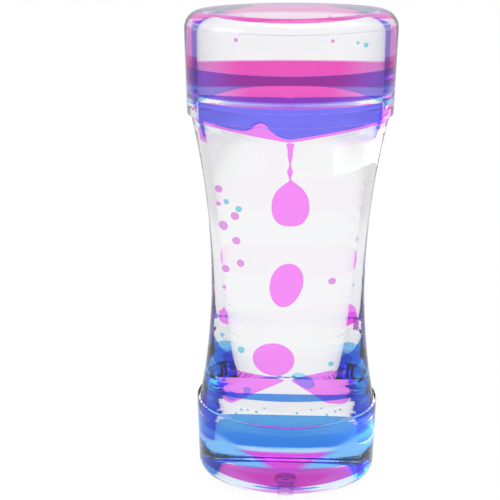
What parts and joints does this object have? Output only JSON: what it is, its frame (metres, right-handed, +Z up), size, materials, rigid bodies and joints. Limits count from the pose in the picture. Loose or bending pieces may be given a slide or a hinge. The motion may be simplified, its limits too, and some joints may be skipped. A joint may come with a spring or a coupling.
{
  "type": "liquid motion timer",
  "caption": "Clear waisted liquid motion timer of oval section: dyed drops fall through clear oil from an upper tray and funnel to a lower one.",
  "frame": {"origin": "centre of the base's resting face", "axes": "+Z up along the vessel's axis, +X to the right along the oval's long axis, -Y towards the viewer"},
  "size_m": [0.0554, 0.0378, 0.142],
  "materials": {
    "clear_plastic": "clear, polished",
    "insert_plastic": "clear, polished",
    "plug_plastic": "milky",
    "clear_oil": "clear liquid",
    "pink_liquid": "dyed clear liquid",
    "deep_pink_liquid": "dyed clear liquid, deep",
    "blue_liquid": "dyed clear liquid",
    "cyan_liquid": "dyed clear liquid, thin",
    "violet_liquid": "dyed clear liquid, blue and pink over each other"
  },
  "bodies": {
    "vessel": {"body_shell": "clear_plastic", "top_cap": "clear_plastic", "bottom_cap": "clear_plastic", "upper_tray": "insert_plastic", "lower_tray": "insert_plastic", "upper_funnel": "insert_plastic", "lower_funnel": "insert_plastic", "fill_plug": "plug_plastic", "upper_oil": "clear_oil", "upper_pink_layer": "deep_pink_liquid", "upper_blue_fill": "violet_liquid", "upper_pink_film": "pink_liquid", "upper_blue_seep": "cyan_liquid", "upper_pink_seep": "pink_liquid", "pink_thread": "pink_liquid", "landed_drop": "pink_liquid", "settled_droplets": "cyan_liquid", "middle_oil": "clear_oil", "left_pink_pool": "pink_liquid", "right_pink_pool": "pink_liquid", "pool_blue_drops": "violet_liquid", "rim_stream": "violet_liquid", "lower_oil": "clear_oil", "bottom_blue_pool": "blue_liquid", "bottom_pink_pool": "deep_pink_liquid", "ceiling_droplets": "cyan_liquid"},
    "forming_drop": {"forming_drop": "pink_liquid"},
    "falling_drop": {"falling_drop": "pink_liquid"},
    "side_droplets": {"pink_droplets": "pink_liquid", "blue_droplets": "cyan_liquid"}
  },
  "joints": [
    {"name": "forming_fall", "type": "slide", "parent": "vessel", "child": "forming_drop", "axis": [0, 0, -1], "range_m": [0, 0.009]},
    {"name": "falling_fall", "type": "slide", "parent": "vessel", "child": "falling_drop", "axis": [0, 0, -1], "range_m": [0, 0.009]},
    {"name": "droplets_fall", "type": "slide", "parent": "vessel", "child": "side_droplets", "axis": [0, 0, -1], "range_m": [0, 0.006]}
  ],
  "couplings": [
    {"joint": "falling_fall", "follows": "forming_fall", "ratio": 1},
    {"joint": "droplets_fall", "follows": "forming_fall", "ratio": 0.6666}
  ]
}
